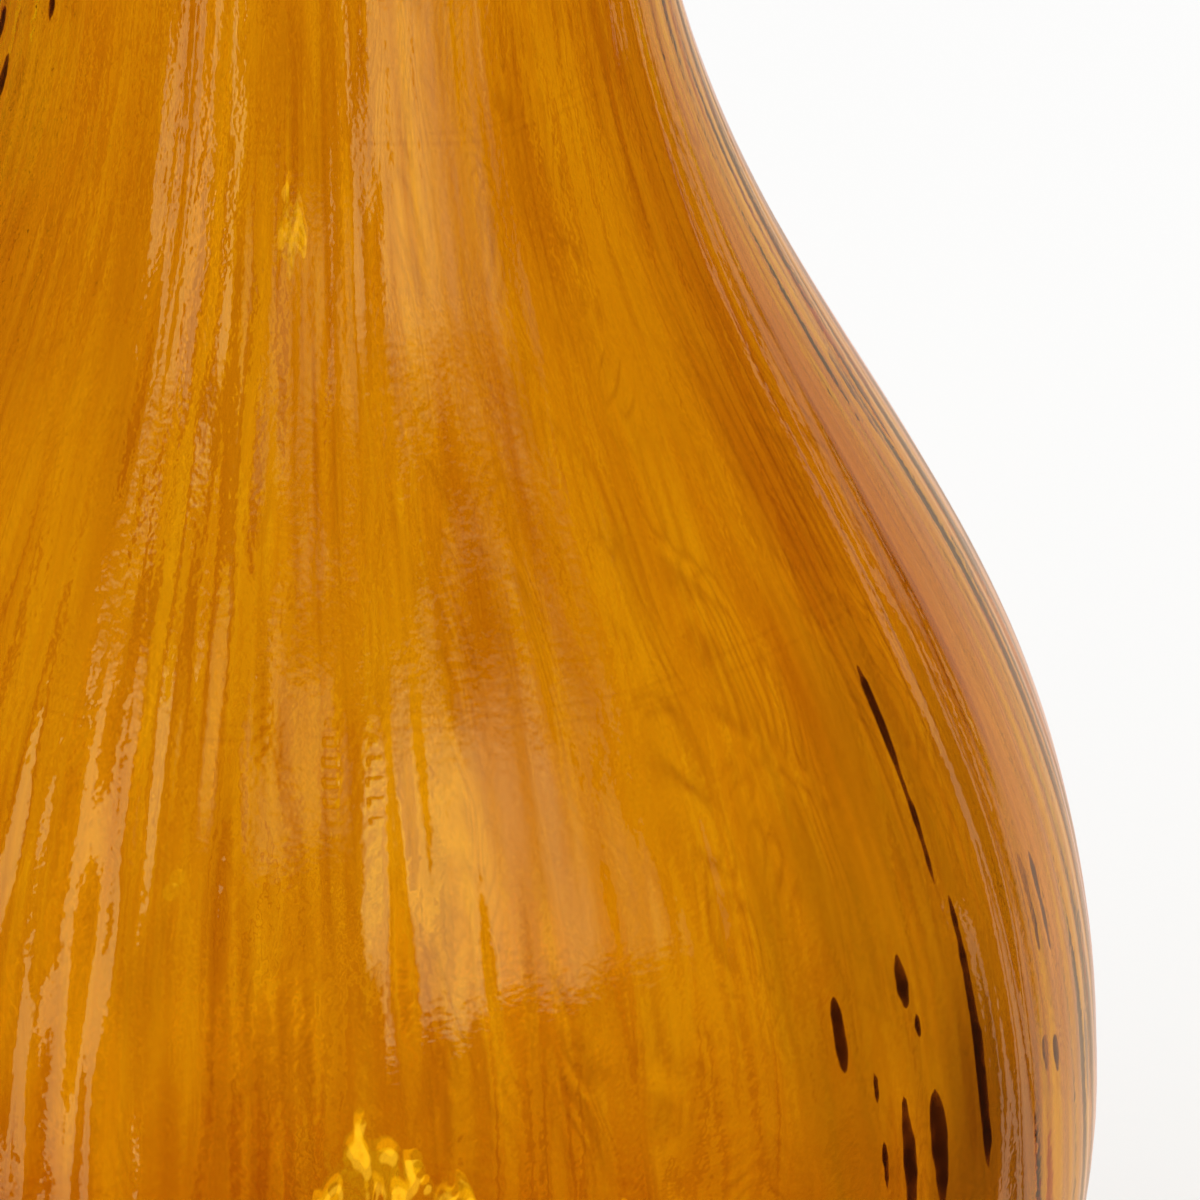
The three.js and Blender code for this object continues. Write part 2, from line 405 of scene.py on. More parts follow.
@dataclass
class GlassWall:
    """The wall of the vase: both glass layers, fused as they are in the real one.

    Sizes are in millimetres. The waves are calmest on one side, given in degrees round from
    the front towards +X, and liveliest from the cosine of an angle off it.
    """

    material: bpy.types.Material
    outline: Outline = field(default_factory=Outline)
    rows: Rows = field(default_factory=Rows)
    columns: int = 620
    outside_waves: tuple[Wave, ...] = (
        Wave(34.0, 75.0, 1.05, 3.0, calm=0.13),
        Wave(8.0, 26.0, 1.7, 11.0),
        Wave(12.0, 14.0, 0.4, 41.0),
        Wave(14.0, 260.0, 0.9, 53.0, lively=0.25, calm=0.72),
    )
    inside_waves: tuple[Wave, ...] = (
        Wave(14.0, 50.0, 0.7, 23.0),
        Wave(4.0, 40.0, 1.4, 29.0),
    )
    still_foot: float = 12.0
    still_lip: float = 10.0
    calm_turn: float = 95.0
    calm_reach: float = 0.3
    weld: float = 0.002

    def profile(self) -> list[ProfilePoint]:
        """The closed wall's profile, from the axis under the foot to the axis on the floor.

        Returns:
            Its points in that order.
        """
        sizes, rows = self.outline, self.rows
        points = self.foot()
        for curve, count in zip(sizes.outside(), rows.outside):
            stretch = bezier(curve, count, Side.OUTSIDE)
            points.extend(stretch if not curve[0].y else stretch[1:])
        points.extend(self.rim())
        lip_count, shoulder_count = rows.inside
        shoulder, lip = sizes.outside()[1:]
        inner = bezier(shoulder, shoulder_count, Side.INSIDE)
        inner.extend(bezier(lip, lip_count, Side.INSIDE)[1:])
        for point in reversed(inner):
            place = point.place - point.outward() * sizes.wall
            points.append(ProfilePoint(place, -point.along, Side.INSIDE))
        points.extend(bezier(sizes.floor(), rows.floor, Side.INSIDE)[1:])
        return points

    def foot(self) -> list[ProfilePoint]:
        """The ground hollow under the foot, and the flat ring up to its edge.

        Returns:
            Their points, from the axis outwards.
        """
        sizes, rows, points = self.outline, self.rows, []
        radius, depth = sizes.hollow_radius, sizes.hollow_depth
        for step in range(rows.hollow + 1):
            angle = (step / rows.hollow) * (math.pi / 2)
            place = Vector((radius * math.sin(angle), depth * math.cos(angle)))
            along = Vector((radius * math.cos(angle), -depth * math.sin(angle)))
            points.append(ProfilePoint(place, along.normalized(), Side.GROUND))
        for step in range(1, rows.ring):
            place = Vector((radius + (sizes.foot_radius - radius) * step / rows.ring, 0.0))
            points.append(ProfilePoint(place, Vector((1.0, 0.0)), Side.GROUND))
        return points

    def rim(self) -> list[ProfilePoint]:
        """The round of the lip, from the outside over to the inside.

        Returns:
            Its points, without the two ends.
        """
        sizes, points = self.outline, []
        for step in range(1, self.rows.rim):
            angle = math.pi * step / self.rows.rim - sizes.lip_flare
            arm = Vector((math.cos(angle), math.sin(angle)))
            place = sizes.rim_centre() + arm * (sizes.wall / 2)
            points.append(ProfilePoint(place, Vector((-arm.y, arm.x)), Side.GROUND))
        return points

    def profile_mesh(self) -> bpy.types.Mesh:
        """The profile as loose vertices that carry the way out and their share of the waves.

        Returns:
            The mesh, in metres.
        """
        points = self.profile()
        mesh = bpy.data.meshes.new("wall profile")
        mesh.from_pydata([(p.place.x * MM, 0.0, p.place.y * MM) for p in points], [], [])
        outward = mesh.attributes.new("outward", "FLOAT_VECTOR", "POINT")
        ways = [(p.outward().x, 0.0, p.outward().y) for p in points]
        outward.data.foreach_set("vector", [number for way in ways for number in way])
        for side in (Side.OUTSIDE, Side.INSIDE):
            share = mesh.attributes.new(side.value, "FLOAT", "POINT")
            share.data.foreach_set("value", [self.share(p, side) for p in points])
        return mesh

    def share(self, point: ProfilePoint, side: Side) -> float:
        """How much of one side's waves a profile point takes.

        Args:
            point: The profile point.
            side: The side of the glass whose waves are asked for.

        Returns:
            Nothing at the ground foot and the lip, and elsewhere more where the glass is wider.
        """
        if point.side is not side:
            return 0.0
        low = min(1.0, point.place.y / self.still_foot)
        high = min(1.0, (self.outline.height - point.place.y) / self.still_lip)
        return max(0.0, min(low, high)) * point.place.x / self.outline.belly_radius

    def waves(self) -> Iterator[tuple[Side, str, Wave]]:
        """Goes through the sets of waves.

        Yields:
            The side of the glass, the set's name, and its sizes.
        """
        sets = {Side.OUTSIDE: self.outside_waves, Side.INSIDE: self.inside_waves}
        for side, waves in sets.items():
            for number, wave in enumerate(waves, 1):
                yield side, f"{side.value} waves {number}", wave

    def wave_group(self) -> Tree:
        """A node group that gives the height of one set of waves.

        Returns:
            The node group.
        """
        tree = bpy.data.node_groups.new("Drawn-out wave", "GeometryNodeTree")
        wires = Wiring(tree)
        wires.add_input("Direction", SocketKind.VECTOR)
        for name in ("Level", *WAVE_INPUTS):
            wires.add_input(name, SocketKind.FLOAT)
        wires.add_output("Height", SocketKind.FLOAT)
        given = wires.node("NodeGroupInput").outputs
        x, y, _ = wires.separate(wires.scale(given["Direction"], given["Around"]))
        level = wires.total(wires.math("DIVIDE", given["Level"], given["Rise"]), given["Seed"])
        height = wires.times(wires.swing(wires.combine(x, y, level)), given["Height"])
        wires.node("NodeGroupOutput", {"Height": height})
        return tree

    def tree(self) -> tuple[Tree, dict[str, object]]:
        """The tree that turns the profile round the axis and lays the waves on both sides.

        Returns:
            The tree, and its modifier's inputs by identifier.
        """
        tree = bpy.data.node_groups.new("Blown wall", "GeometryNodeTree")
        wires = Wiring(tree)
        wires.add_input("Profile", SocketKind.GEOMETRY)
        calm = math.radians(self.calm_turn)
        values = {
            wires.add_input("Columns", SocketKind.INT): self.columns,
            wires.add_input("Glass", SocketKind.MATERIAL): self.material,
            wires.add_input("Calm turn", SocketKind.FLOAT): calm,
        }
        for _, name, wave in self.waves():
            for quantity, value in wave.inputs().items():
                values[wires.add_input(f"{quantity} of {name}", SocketKind.FLOAT)] = value
        wires.add_output("Wall", SocketKind.GEOMETRY)
        given = wires.node("NodeGroupInput").outputs

        profile = given["Profile"]
        size = wires.node("GeometryNodeAttributeDomainSize", {"Geometry": profile})
        row_count = size.outputs["Point Count"]
        grid = wires.node("GeometryNodeMeshGrid", {
            "Size X": 1.0, "Size Y": 1.0,
            "Vertices X": wires.total(given["Columns"], 1.0), "Vertices Y": row_count,
        })
        index = wires.node("GeometryNodeInputIndex").outputs[0]
        row = wires.math("MODULO", index, row_count)
        column = wires.math("FLOOR", wires.math("DIVIDE", wires.total(index, 0.5), row_count))
        angle = wires.times(wires.math("DIVIDE", column, given["Columns"]), math.tau)
        sine, cosine = wires.math("SINE", angle), wires.math("COSINE", angle)
        direction = wires.combine(sine, wires.times(cosine, -1.0), 0.0)
        place = self.sample(wires, profile, "FLOAT_VECTOR", "position", row)
        outward = self.sample(wires, profile, "FLOAT_VECTOR", "outward", row)
        level = wires.separate(place)[2]
        offset = wires.scale(self.turned(wires, direction, outward),
                             self.waviness(wires, given, direction, level, angle, row))
        placed = wires.node("GeometryNodeSetPosition", {
            "Geometry": grid.outputs["Mesh"], "Position": self.turned(wires, direction, place),
            "Offset": offset,
        })
        closed = wires.node("GeometryNodeMergeByDistance", {
            "Geometry": placed.outputs["Geometry"], "Distance": self.weld * MM,
        })
        wires.dress(closed.outputs["Geometry"], given["Glass"], "Wall")
        return tree, values

    def turned(self, wires: Wiring, direction: Socket, vector: Socket) -> Socket:
        """Turns a vector of the profile's plane round the axis, into a direction."""
        out, _, up = wires.separate(vector)
        return wires.vector_math("ADD", wires.scale(direction, out), wires.combine(0.0, 0.0, up))

    def waviness(self, wires: Wiring, given: bpy.types.bpy_prop_collection, direction: Socket,
                 level: Socket, angle: Socket, row: Socket) -> Socket:
        """Adds up all the waves at a place.

        Args:
            wires: The wall's tree.
            given: Its inputs.
            direction: The way from the axis to the place.
            level: The place's height.
            angle: Its angle round from the front.
            row: Its row of the profile.

        Returns:
            How far the glass stands out.
        """
        group = self.wave_group()
        facing = wires.math("COSINE", wires.minus(angle, given["Calm turn"]))
        shares = {
            side: self.sample(wires, given["Profile"], "FLOAT", side.value, row)
            for side in (Side.OUTSIDE, Side.INSIDE)
        }
        heights = []
        for side, name, _ in self.waves():
            inputs = {quantity: given[f"{quantity} of {name}"] for quantity in WAVE_INPUTS}
            made = wires.node("GeometryNodeGroup", inputs | {
                "Direction": direction, "Level": level,
            }, node_tree=group)
            kept = wires.remap(facing, 1.0, self.calm_reach, given[f"Calm share of {name}"],
                               given[f"Lively share of {name}"])
            heights.append(wires.times(made.outputs["Height"], wires.times(shares[side], kept)))
        return wires.total(*heights)

    def sample(self, wires: Wiring, profile: Socket, kind: str, name: str, row: Socket) -> Socket:
        """Reads an attribute of the profile, by its type and name, at a row."""
        named = wires.node("GeometryNodeInputNamedAttribute", {"Name": name}, data_type=kind)
        return wires.node("GeometryNodeSampleIndex", {
            "Geometry": profile, "Value": named.outputs["Attribute"], "Index": row,
        }, data_type=kind).outputs["Value"]

    def build(self) -> bpy.types.Object:
        """Makes the wall and puts it in place of both glass layers' solids.

        Returns:
            The wall.
        """
        tree, values = self.tree()
        piece = grow(self.profile_mesh(), tree, values, "glass_wall")
        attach(piece, BODY)
        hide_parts("amber_body", "clear_casing")
        return piece


@dataclass
class DarkChips:
    """The chips of dark glass, each softened from its own solid, with sizes in millimetres."""

    material: bpy.types.Material
    levels: int = 2
    swell: float = 0.06
    bumps: float = 0.9
    bump_size: float = 3.0
    weld: float = 0.01

    def tree(self) -> tuple[Tree, dict[str, object]]:
        """The tree that rounds a chip's facets and makes its skin uneven.

        Returns:
            The tree, and its modifier's inputs by identifier.
        """
        tree = bpy.data.node_groups.new("Softened chip", "GeometryNodeTree")
        wires = Wiring(tree)
        wires.add_input("Chip", SocketKind.GEOMETRY)
        values = {
            wires.add_input("Levels", SocketKind.INT): self.levels,
            wires.add_input("Swell", SocketKind.FLOAT): self.swell * MM,
            wires.add_input("Bump height", SocketKind.FLOAT): self.bumps * MM,
            wires.add_input("Bump size", SocketKind.FLOAT): self.bump_size * MM,
            wires.add_input("Glass", SocketKind.MATERIAL): self.material,
        }
        wires.add_output("Chip", SocketKind.GEOMETRY)
        given = wires.node("NodeGroupInput").outputs
        merged = wires.node("GeometryNodeMergeByDistance", {
            "Geometry": given["Chip"], "Distance": self.weld * MM,
        })
        round_chip = wires.node("GeometryNodeSubdivisionSurface", {
            "Mesh": merged.outputs["Geometry"], "Level": given["Levels"],
        })
        place = wires.node("GeometryNodeInputPosition").outputs[0]
        normal = wires.node("GeometryNodeInputNormal").outputs[0]
        bumps = wires.swing(wires.scale(place, wires.math("DIVIDE", 1.0, given["Bump size"])))
        height = wires.math("MULTIPLY_ADD", bumps, given["Bump height"], given["Swell"])
        moved = wires.node("GeometryNodeSetPosition", {
            "Geometry": round_chip.outputs["Mesh"], "Offset": wires.scale(normal, height),
        })
        wires.dress(moved.outputs["Geometry"], given["Glass"], "Chip")
        return tree, values

    def build(self) -> list[bpy.types.Object]:
        """Makes one piece for each chip's solid.

        Returns:
            The pieces.
        """
        tree, values = self.tree()
        pieces = []
        for name in sorted(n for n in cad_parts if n.startswith("dark_chip_")):
            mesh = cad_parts[name].data.copy()
            mesh.materials.clear()
            piece = grow(mesh, tree, values, name.replace("dark", "soft"))
            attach(piece, BODY)
            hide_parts(name)
            pieces.append(piece)
        return pieces


class ShaderTree(Wiring):
    """The node tree of a material with a Principled shader."""

    def __init__(self, name: str) -> None:
        """Makes the material, with nothing but its shader and output.

        Args:
            name: The material's name.
        """
        self.material = bpy.data.materials.new(name)
        super().__init__(emptied(self.material))
        self.shader = self.node("ShaderNodeBsdfPrincipled")
        self.output = self.node("ShaderNodeOutputMaterial", {"Surface": self.shader.outputs[0]})

    def shade(self, inputs: dict[str, object]) -> None:
        """Feeds inputs of the Principled shader, by name."""
        for name, value in inputs.items():
            self.feed(self.shader.inputs[name], value)


def wall_place_group() -> Tree:
    """A node group that gives a place on the wall as a direction round it and a height.

    The direction keeps the pattern whole all the way round, and the twist leans it as the
    glass was turned.

    Returns:
        The node group.
    """
    tree = bpy.data.node_groups.new("Place on the wall", "ShaderNodeTree")
    wires = Wiring(tree)
    for name in ("Around", "Rise", "Twist", "Seed"):
        wires.add_input(name, SocketKind.FLOAT)
    wires.add_output("Place", SocketKind.VECTOR)
    given = wires.node("NodeGroupInput").outputs
    x, y, z = wires.separate(wires.node("ShaderNodeTexCoord").outputs["Object"])
    turned = wires.node("ShaderNodeVectorRotate", {
        "Vector": wires.vector_math("NORMALIZE", wires.combine(x, y, 0.0)),
        "Angle": wires.times(z, given["Twist"]),
    }, rotation_type="Z_AXIS")
    round_x, round_y, _ = wires.separate(wires.scale(turned.outputs["Vector"], given["Around"]))
    level = wires.total(wires.math("DIVIDE", z, given["Rise"]), given["Seed"])
    wires.node("NodeGroupOutput", {"Place": wires.combine(round_x, round_y, level)})
    return tree


@dataclass(frozen=True)
class Pattern:
    """Noise drawn out along the wall.

    Attributes:
        around: How often it changes in one radian round the vase.
        rise: The height over which it changes, in metres.
        seed: Where in the noise it is read.
        detail: How many finer layers it has.
        twist: How far it leans, in radians for each metre of height.
        roughness: How strong each finer layer is.
        distortion: How far it is bent by itself.
    """

    around: float
    rise: float
    seed: float
    detail: float = 1.0
    twist: float = 0.35
    roughness: float = 0.5
    distortion: float = 0.0


@dataclass(frozen=True)
class Oval:
    """An oval on the wall.

    Attributes:
        turn: Where its middle lies, in degrees round from the front towards +X.
        level: The height of its middle, in metres.
        wide: Half its width, as an angle in degrees.
        high: Half its height, in metres.
    """

    turn: float
    level: float
    wide: float
    high: float


class WallTree(ShaderTree):
    """The node tree of a material that knows where on the wall it is."""

    def __init__(self, name: str, place: Tree) -> None:
        """Makes the material and keeps the node group that gives a place on the wall."""
        super().__init__(name)
        self.place = place

    def placed(self, around: float, rise: float, twist: float, seed: float) -> Socket:
        """Gives the place on the wall, by the node group's four inputs."""
        inputs = {"Around": around, "Rise": rise, "Twist": twist, "Seed": seed}
        return self.node("ShaderNodeGroup", inputs, node_tree=self.place).outputs[0]

    @cached_property
    def bare(self) -> Socket:
        """The direction from the axis, with the height in metres as the third number."""
        return self.placed(around=1.0, rise=1.0, twist=0.0, seed=0.0)

    def pattern(self, drawn: Pattern) -> Socket:
        """Gives a pattern's number at the place, from 0 to 1."""
        place = self.placed(drawn.around, drawn.rise, drawn.twist, drawn.seed)
        return self.noise(place, drawn.detail, drawn.roughness, drawn.distortion)

    def spread(self, oval: Oval) -> Socket:
        """The square of the place's distance from an oval's middle, 1 at the oval's edge.

        Args:
            oval: The oval.

        Returns:
            The square of the distance.
        """
        angle = math.radians(oval.turn)
        across = 0.5 / math.sin(math.radians(oval.wide) / 2)
        middle = (-math.sin(angle) * across, math.cos(angle) * across, -oval.level / oval.high)
        scale = (across, across, 1.0 / oval.high)
        return self.square(self.vector_math("MULTIPLY_ADD", self.bare, scale, middle))


@dataclass(frozen=True)
class Lines:
    """Lines that wind along a pattern's level places.

    Attributes:
        pattern: The pattern.
        turns: How many radians a sine takes over the pattern's range.
        sharpness: The power that narrows its crests to lines.
    """

    pattern: Pattern
    turns: float
    sharpness: float

    def share(self, wall: WallTree) -> Socket:
        """Gives how much of a line lies at the place, from 0 to 1."""
        wave = wall.math("SINE", wall.times(wall.pattern(self.pattern), self.turns))
        return wall.math("POWER", wall.math("ABSOLUTE", wave), self.sharpness)


@dataclass(frozen=True)
class Sided:
    """A share that changes with how squarely the wall faces one side.

    Attributes:
        turn: The side, in degrees round from the front towards +X.
        first: The cosine of the angle from it where the share starts to change.
        last: The cosine where it stops.
        start: The share at the first.
        end: The share at the last.
    """

    turn: float
    first: float
    last: float
    start: float
    end: float

    def share(self, wall: WallTree) -> Socket:
        """Gives the share at the place.

        Args:
            wall: The material's tree.

        Returns:
            The share.
        """
        angle = math.radians(self.turn)
        x, y, _ = wall.separate(wall.bare)
        facing = wall.math("MULTIPLY_ADD", y, -math.cos(angle), wall.times(x, math.sin(angle)))
        return wall.remap(facing, self.first, self.last, self.start, self.end)


@dataclass(frozen=True)
class Glass:
    """What each glass of the vase has: its gloss, and the colour that its depth gives.

    Attributes:
        depth_colour: The colour that its depth lets through.
        depth_density: How quickly it takes up the rest, for each metre.
        roughness: How rough its skin is.
        ior: How strongly it bends light.
    """

    depth_colour: Colour
    depth_density: float
    roughness: float
    ior: float

    def start(self, name: str, place: Tree) -> WallTree:
        """Starts the glass's material, with its gloss and its depth.

        Args:
            name: The material's name.
            place: The node group that gives a place on the wall.

        Returns:
            The material's tree.
        """
        wall = WallTree(name, place)
        wall.shade({"Roughness": self.roughness, "IOR": self.ior, "Transmission Weight": 1.0})
        depth = wall.node("ShaderNodeVolumeAbsorption", {
            "Color": rgba(self.depth_colour), "Density": self.depth_density,
        })
        wall.feed(wall.output.inputs["Volume"], depth.outputs[0])
        return wall


@dataclass(frozen=True)
class Cloud(Oval):
    """An oval in which the glass has another colour; those that end in fine flecks are painted
    glints, pale spots that also glow.

    Attributes:
        colour: Its colour.
        strength: How much of that colour it takes, up to 1.
        painted_glint: Whether it is a painted glint, a pale spot that glows and ends suddenly in
            fine flecks, and not a cloud of colour that ends in soft wisps.
    """

    # The default pale colour is that of the painted glints.
    colour: Colour = (1.0, 1.0, 0.8)
    strength: float = 1.0
    painted_glint: bool = False


@dataclass(frozen=True)
class AmberGlass(Glass):
    """The finish of the wall: amber in paler and deeper streaks, glossy and finely rippled, with
    painted glints.

    The streaks' colours tint each crossing of the wall, and the depth of the glass adds the
    rest. Heights are in metres, reliefs in millimetres, and two numbers are the range between
    which something starts and is in full.
    """

    depth_colour: Colour = (0.952, 0.857, 0.0)
    depth_density: float = 420.0
    roughness: float = 0.003
    ior: float = 1.5
    deep: Colour = (0.75, 0.45, 0.08)
    middle: Colour = (0.91, 0.65, 0.20)
    pale: Colour = (0.985, 0.77, 0.28)
    broad: Pattern = Pattern(5.0, 0.13, 5.0)
    flames: Pattern = Pattern(15.0, 0.075, 9.0, detail=2.0)
    fine: Pattern = Pattern(48.0, 0.045, 13.0, detail=2.0)
    broad_share: float = 0.36
    flame_share: float = 0.38
    fine_share: float = 0.42
    base_share: float = 0.13
    middle_from: Range = (0.405, 0.49)
    pale_from: Range = (0.505, 0.57)
    crossing: Range = (0.42, 0.6)
    crossing_least: float = 0.15
    grain: Colour = (0.74, 0.64, 0.62)
    bands: Lines = Lines(Pattern(9.0, 0.035, 31.0, roughness=0.6, distortion=0.9), 32.0, 5.0)
    grain_side: Sided = Sided(50.0, 0.65, 0.95, 0.3, 1.0)
    thread: Colour = (0.5, 0.3, 0.36)
    threads: Lines = Lines(Pattern(11.0, 0.3, 37.0), 9.0, 60.0)
    thread_side: Sided = Sided(80.0, 0.8, 0.97, 0.12, 0.9)
    clouds: tuple[Cloud, ...] = (
        Cloud(55.0, 0.135, 22.0, 0.07, (0.62, 0.43, 0.12)),
        Cloud(60.0, 0.112, 8.0, 0.04, (0.4, 0.26, 0.1), strength=0.9),
        Cloud(53.5, 0.085, 6.5, 0.022, (0.3, 0.18, 0.09)),
        Cloud(49.0, 0.255, 15.0, 0.055, (0.98, 0.79, 0.2), strength=0.5),
        Cloud(-56.0, 0.278, 14.0, 0.02, (0.99, 0.88, 0.3), strength=0.6),
        # Painted glints: pale spots that end in flecks and also glow, standing in for light thrown
        # through the glass.
        Cloud(3.4, 0.132, 3.2, 0.0075, painted_glint=True),
        Cloud(9.6, 0.129, 2.0, 0.0035, painted_glint=True),
        Cloud(20.8, 0.122, 3.0, 0.003, painted_glint=True),
        Cloud(-4.6, 0.262, 2.2, 0.006, strength=0.5, painted_glint=True),
        Cloud(-12.0, 0.174, 1.0, 0.0012, strength=0.5, painted_glint=True),
    )
    wisps: Pattern = Pattern(24.0, 0.045, 41.0)
    wisp_reach: float = 2.6
    flecks: Pattern = Pattern(30.0, 0.006, 47.0, twist=0.0)
    fleck_reach: float = 5.0
    fleck_edge: float = 0.8
    # The painted glints' glow: its colour, its strength and the curled lines it lies in.
    painted_glint_colour: Colour = (1.0, 0.62, 0.03)
    painted_glint_glow: float = 0.3
    painted_glint_lines: float = 21.0
    painted_glint_curls: Range = (-0.4, 0.9)
    beads: tuple[Oval, ...] = (
        Oval(-5.2, 0.202, 0.9, 0.014), Oval(1.1, 0.1915, 0.9, 0.0085), Oval(5.0, 0.189, 0.9, 0.008),
    )
    bead_pitch: float = 0.0027
    bead_height: float = 0.06
    bead_ends: Range = (1.0, 0.2)
    bead_round: Range = (-0.4, 1.0)
    ripples: Pattern = Pattern(62.0, 0.0014, 51.0, twist=0.0)
    ripple: float = 0.055
    ripple_side: Sided = Sided(92.0, 1.0, 0.4, 0.25, 1.0)
    chill_heights: tuple[float, float] = (0.2755, 0.1965)
    chill_wander: float = 0.008
    chill_width: float = 0.0006
    chill_slow: float = 1.6
    chill_quick: float = 9.0
    chill_gaps: Range = (0.42, 0.55)
    chill: Colour = (0.9, 0.84, 0.8)

    def material(self, place: Tree) -> bpy.types.Material:
        """Builds the material.

        Args:
            place: The node group that gives a place on the wall.

        Returns:
            The material.
        """
        wall = self.start("streaked amber glass", place)
        # Besides the colour, the clouds give glow, the painted light of the glints, which feeds the
        # emission: the glass glows there though it is no lamp.
        colour, glow = self.clouded(wall, self.streaked(wall))
        bump = wall.node("ShaderNodeBump", {
            "Strength": 1.0, "Distance": self.ripple * MM, "Height": self.relief(wall),
        })
        wall.shade({
            "Base Color": wall.mix_colour(self.chilled(wall), colour, rgba(self.chill), "MULTIPLY"),
            "Emission Color": glow, "Emission Strength": self.painted_glint_glow,
            "Normal": bump.outputs["Normal"],
        })
        wall.material.cycles.emission_sampling = "NONE"
        return wall.material

    def streaked(self, wall: WallTree) -> Socket:
        """The tint of the streaks, with the banded lines and the threads over them.

        Args:
            wall: The material's tree.

        Returns:
            The colour.
        """
        flames = wall.pattern(self.flames)
        crossed = wall.remap(flames, *self.crossing, self.crossing_least, 1.0)
        streak = wall.total(
            wall.times(wall.pattern(self.broad), self.broad_share),
            wall.times(flames, self.flame_share),
            wall.times(wall.minus(wall.pattern(self.fine), 0.5),
                       wall.times(crossed, self.fine_share)),
            self.base_share,
        )
        deep, middle, pale = rgba(self.deep), rgba(self.middle), rgba(self.pale)
        colour = wall.mix_colour(wall.remap(streak, *self.middle_from), deep, middle)
        colour = wall.mix_colour(wall.remap(streak, *self.pale_from), colour, pale)
        banded = wall.times(self.bands.share(wall), crossed)
        lined = wall.times(banded, self.grain_side.share(wall))
        colour = wall.mix_colour(lined, colour, rgba(self.grain), "MULTIPLY")
        threaded = wall.times(self.threads.share(wall), self.thread_side.share(wall))
        return wall.mix_colour(threaded, colour, rgba(self.thread), "MULTIPLY")

    def clouded(self, wall: WallTree, colour: Socket) -> tuple[Socket, Socket]:
        """Lays the clouds over a colour, the painted glints among them.

        Args:
            wall: The material's tree.
            colour: The colour underneath.

        Returns:
            The clouded colour, with the painted glints' pale spots, and the painted glow of the
            glints.
        """
        wisps, flecks = wall.pattern(self.wisps), wall.pattern(self.flecks)
        eaten = {
            False: wall.times(wall.minus(wisps, 0.5), self.wisp_reach),
            True: wall.times(wall.minus(flecks, 0.5), self.fleck_reach),
        }
        painted_glints = 0.0
        for cloud in self.clouds:
            reach = wall.total(wall.spread(cloud), eaten[cloud.painted_glint])
            inner = self.fleck_edge if cloud.painted_glint else 0.0
            shown = wall.remap(reach, 1.0, inner, 0.0, cloud.strength)
            colour = wall.mix_colour(shown, colour, rgba(cloud.colour))
            # A cloud that ends in flecks is a painted glint: its pale spot also glows.
            if cloud.painted_glint:
                painted_glints = wall.total(painted_glints, shown)
        lines = wall.math("SINE", wall.times(flecks, self.painted_glint_lines))
        curls = wall.remap(lines, *self.painted_glint_curls)
        glow = wall.mix_colour(wall.times(painted_glints, curls), rgba(BLACK), rgba(self.painted_glint_colour))
        return colour, glow

    def chilled(self, wall: WallTree) -> Socket:
        """Thin wandering rings where the glass chilled against a tool.

        Args:
            wall: The material's tree.

        Returns:
            How much of a ring lies at the place.
        """
        slow, quick = (
            wall.noise(wall.vector_math("MULTIPLY", wall.bare, (often, often, 0.0)), detail=0.0)
            for often in (self.chill_slow, self.chill_quick)
        )
        wander = wall.times(wall.minus(slow, 0.5), self.chill_wander)
        level = wall.minus(wall.separate(wall.bare)[2], wander)
        off = [wall.math("ABSOLUTE", wall.minus(level, height)) for height in self.chill_heights]
        ring = wall.remap(wall.math("MINIMUM", *off), self.chill_width, 0.0)
        return wall.times(ring, wall.remap(quick, *self.chill_gaps))

    def relief(self, wall: WallTree) -> Socket:
        """The height of the ripples, with the columns of small beads on them.

        Args:
            wall: The material's tree.

        Returns:
            The height, where 1 is the height of the ripples.
        """
        rippled = wall.minus(wall.pattern(self.ripples), 0.5)
        ripple = wall.times(rippled, self.ripple_side.share(wall))
        columns = [wall.remap(wall.spread(column), *self.bead_ends) for column in self.beads]
        level = wall.separate(wall.bare)[2]
        wave = wall.math("SINE", wall.times(level, math.tau / self.bead_pitch))
        beads = wall.times(wall.remap(wave, *self.bead_round), wall.total(*columns))
        return wall.math("MULTIPLY_ADD", beads, self.bead_height / self.ripple, ripple)


@dataclass(frozen=True)
class DarkGlass(Glass):
    """The finish of the chips: brown, near black where it is thick and redder where it is thin.

    It bends light as the glass round it does, so no gloss shows between the two.
    """

    depth_colour: Colour = (0.2, 0.06, 0.08)
    depth_density: float = 2300.0
    roughness: float = 0.0
    ior: float = 1.01
    skin: Colour = (0.72, 0.5, 0.45)
    thin: Colour = (0.9, 0.68, 0.55)
    thinned: Pattern = Pattern(140.0, 0.012, 21.0, detail=2.0, twist=0.0)
    thin_from: Range = (0.45, 0.7)

    def material(self, place: Tree) -> bpy.types.Material:
        """Builds the material.

        Args:
            place: The node group that gives a place on the wall.

        Returns:
            The material.
        """
        wall = self.start("dark chip glass", place)
        share = wall.remap(wall.pattern(self.thinned), *self.thin_from)
        wall.shade({"Base Color": wall.mix_colour(share, rgba(self.skin), rgba(self.thin))})
        return wall.material


